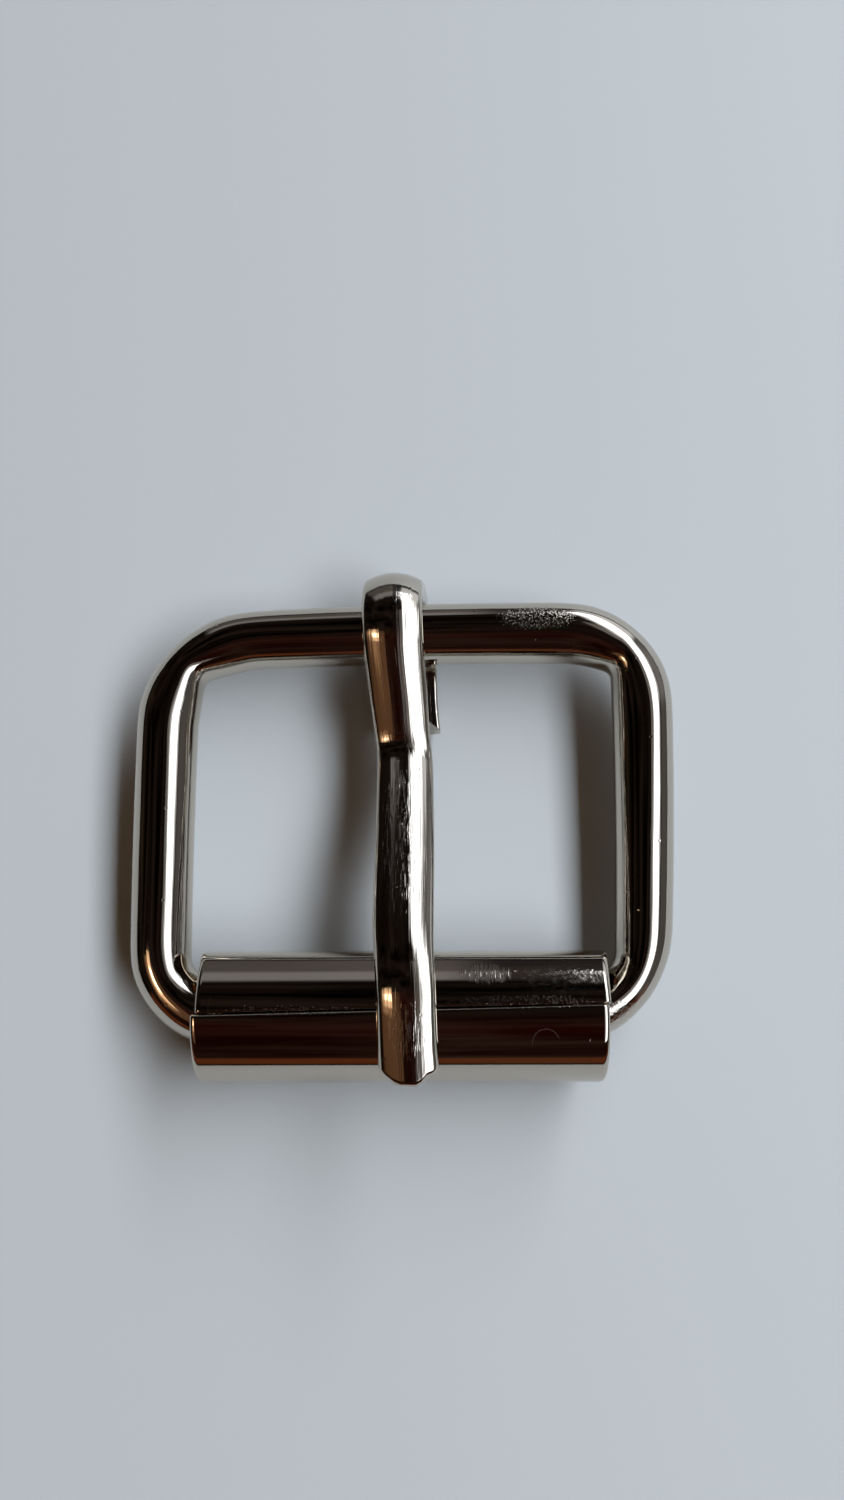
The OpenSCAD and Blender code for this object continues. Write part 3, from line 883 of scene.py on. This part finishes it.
def glow_group():
    """A soft-edged patch of sky: how far a direction is inside a span of azimuth, given by its heading
    and the cosines of its inner and outer half widths, and inside a span of elevation, given by the
    sines of its ends."""
    tree, enter, leave = new_group(
        "Glow patch",
        {"Heading": (1, 0, 0), "Low": 0.0, "High": 0.5, "Cosine in": 0.9, "Cosine out": 0.8,
         "Softness": 0.05},
        "Share")
    split = node(tree, "SeparateXYZ", {0: enter["Vector"]})
    level = node(tree, "CombineXYZ", {0: split.outputs[0], 1: split.outputs[1]})
    unit = vectors(tree, "NORMALIZE", level.outputs[0])
    cosine = vectors(tree, "DOT_PRODUCT", unit, enter["Heading"])
    rise = split.outputs[2]
    under, over = ([maths(tree, way, enter[end], enter["Softness"]) for end in ("Low", "High")]
                   for way in ("SUBTRACT", "ADD"))
    across = ramp(tree, cosine, enter["Cosine out"], enter["Cosine in"])
    over_low = ramp(tree, rise, under[0], over[0])
    under_high = ramp(tree, rise, over[1], under[1])
    both = maths(tree, "MULTIPLY", across, over_low)
    tree.links.new(maths(tree, "MULTIPLY", both, under_high), leave)


def surroundings():
    """World of a dark room with faint glows round the horizon, as mirrors see it. Matt faces get its
    warm average, and only the camera itself sees the pale backdrop behind the floor."""
    world = bpy.data.worlds.new("Studio")
    world.use_nodes = True
    tree = world.node_tree
    tree.nodes.clear()
    way = node(tree, "TexCoord").outputs["Generated"]
    glow_group()
    clutter = node(tree, "TexNoise", {
        "Vector": way, "Scale": 4.0, "Detail": 3.0, "Distortion": 0.6})
    share = node(tree, "MapRange", {
        "Value": clutter.outputs["Fac"], "From Min": 0.38, "From Max": 0.68, "To Min": 0.1,
        "To Max": 2.4})
    total = scaled(tree, ROOM, share.outputs[0])
    for azimuth, half_width, low, high, softness, radiance in GLOWS:
        a = math.radians(azimuth)
        low, high, soft = (math.sin(math.radians(end)) for end in (low, high, softness))
        inner, outer = (math.cos(math.radians(half_width + step)) for step in (-softness, softness))
        patch = use_group(tree, "Glow patch", way, {
            "Heading": (math.cos(a), math.sin(a), 0), "Low": low, "High": high, "Softness": soft,
            "Cosine in": inner, "Cosine out": outer})
        total = vectors(tree, "ADD", total, scaled(tree, radiance, patch))
    room = node(tree, "Background", {"Color": total})
    backdrop = node(tree, "Background", {"Color": (*BACKDROP, 1)})
    fill = node(tree, "Background", {"Color": (*FILL, 1)})
    ray = node(tree, "LightPath")
    inside = node(tree, "MixShader",
                  {0: ray.outputs["Is Diffuse Ray"], 1: room.outputs[0], 2: fill.outputs[0]})
    either = node(tree, "MixShader",
                  {0: ray.outputs["Is Camera Ray"], 1: inside.outputs[0], 2: backdrop.outputs[0]})
    node(tree, "OutputWorld", {0: either.outputs[0]})
    bpy.context.scene.world = world


def pane(name, seen_by, corner, size, radiance, colour):
    """Level rectangular light for matt faces or for mirrors. Its power is pi times its radiance times
    its area."""
    light = bpy.data.lights.new(name, "AREA")
    light.shape = "RECTANGLE"
    light.size, light.size_y = size
    light.energy = radiance * light.size * light.size_y * math.pi
    light.color = colour
    made = add_object(name, light)
    made.location = Vector(corner) + Vector((*size, 0)) / 2
    made.visible_camera = False
    made.visible_glossy = seen_by == MIRRORS
    made.visible_diffuse = seen_by == MATT


def pale_floor(stage):
    """Level square at height 0 round the origin, matt and of one colour."""
    material = bpy.data.materials.new("Pale floor")
    material.use_nodes = True
    shader = material.node_tree.nodes["Principled BSDF"]
    shader.inputs["Base Color"].default_value = (*stage.floor_colour, 1)
    shader.inputs["Roughness"].default_value = stage.floor_roughness
    half = stage.floor_half
    mesh = bpy.data.meshes.new("floor")
    mesh.from_pydata([(-half, -half, 0), (half, -half, 0), (half, half, 0), (-half, half, 0)], [],
                     [(0, 1, 2, 3)])
    mesh.materials.append(material)
    floor = add_object("floor", mesh)


def photo_camera(stage):
    """Camera at the photo's place. It looks straight down, leans north by the tilt and turns about its
    own axis by the roll."""
    data = bpy.data.cameras.new("Camera")
    data.sensor_width = SENSOR
    data.lens = stage.lens
    data.clip_start = NEAREST
    data.clip_end = FARTHEST
    camera = add_object("Camera", data)
    tilt, roll = stage.camera_tilt, stage.camera_roll
    forward = Vector((0, math.sin(tilt), -math.cos(tilt)))
    right = Vector((1, 0, 0))
    up = right.cross(forward)
    turned_right = right * math.cos(roll) + up * math.sin(roll)
    turned_up = up * math.cos(roll) - right * math.sin(roll)
    axes = Matrix((turned_right, turned_up, -forward)).transposed().to_4x4()
    camera.matrix_world = Matrix.Translation(Vector(stage.camera_place)) @ axes
    bpy.context.scene.camera = camera


class BUCKLE_OT_stage(bpy.types.Operator):
    """Lay the pale floor, set the lights and place the camera"""
    bl_idname = "buckle.stage"
    bl_label = "Stage"

    def execute(self, context):
        context.scene.view_settings.view_transform = "Standard"
        pale_floor(context.scene.buckle_stage)
        surroundings()
        for row in PANES:
            pane(*row)
        photo_camera(context.scene.buckle_stage)
        return {"FINISHED"}


class BUCKLE_PT_panel(bpy.types.Panel):
    """Sidebar panel with the buckle's pieces and stage"""
    bl_idname = "BUCKLE_PT_panel"
    bl_label = "Roller buckle"
    bl_space_type = "VIEW_3D"
    bl_region_type = "UI"
    bl_category = "Buckle"

    def draw(self, context):
        for step in STEPS:
            self.layout.operator(step.bl_idname)


STEPS = (BUCKLE_OT_finish, BUCKLE_OT_frame, BUCKLE_OT_roller, BUCKLE_OT_tongue, BUCKLE_OT_stage)
SETTINGS = {
    "buckle_frame": BuckleFrameSizes,
    "buckle_roller": BuckleRollerSizes,
    "buckle_tongue": BuckleTongueSizes,
    "buckle_finish": BuckleFinish,
    "buckle_stage": BuckleStage,
}


def register():
    for part in (*SETTINGS.values(), *STEPS, BUCKLE_PT_panel):
        bpy.utils.register_class(part)
    for name, group in SETTINGS.items():
        setattr(bpy.types.Scene, name, bpy.props.PointerProperty(type=group))


def unregister():
    for name in SETTINGS:
        delattr(bpy.types.Scene, name)
    for part in (BUCKLE_PT_panel, *STEPS, *SETTINGS.values()):
        bpy.utils.unregister_class(part)


def main():
    register()
    bpy.ops.buckle.finish()
    bpy.ops.buckle.frame()
    bpy.ops.buckle.roller()
    bpy.ops.buckle.tongue()
    bpy.ops.buckle.stage()


if __name__ == "__main__":
    main()
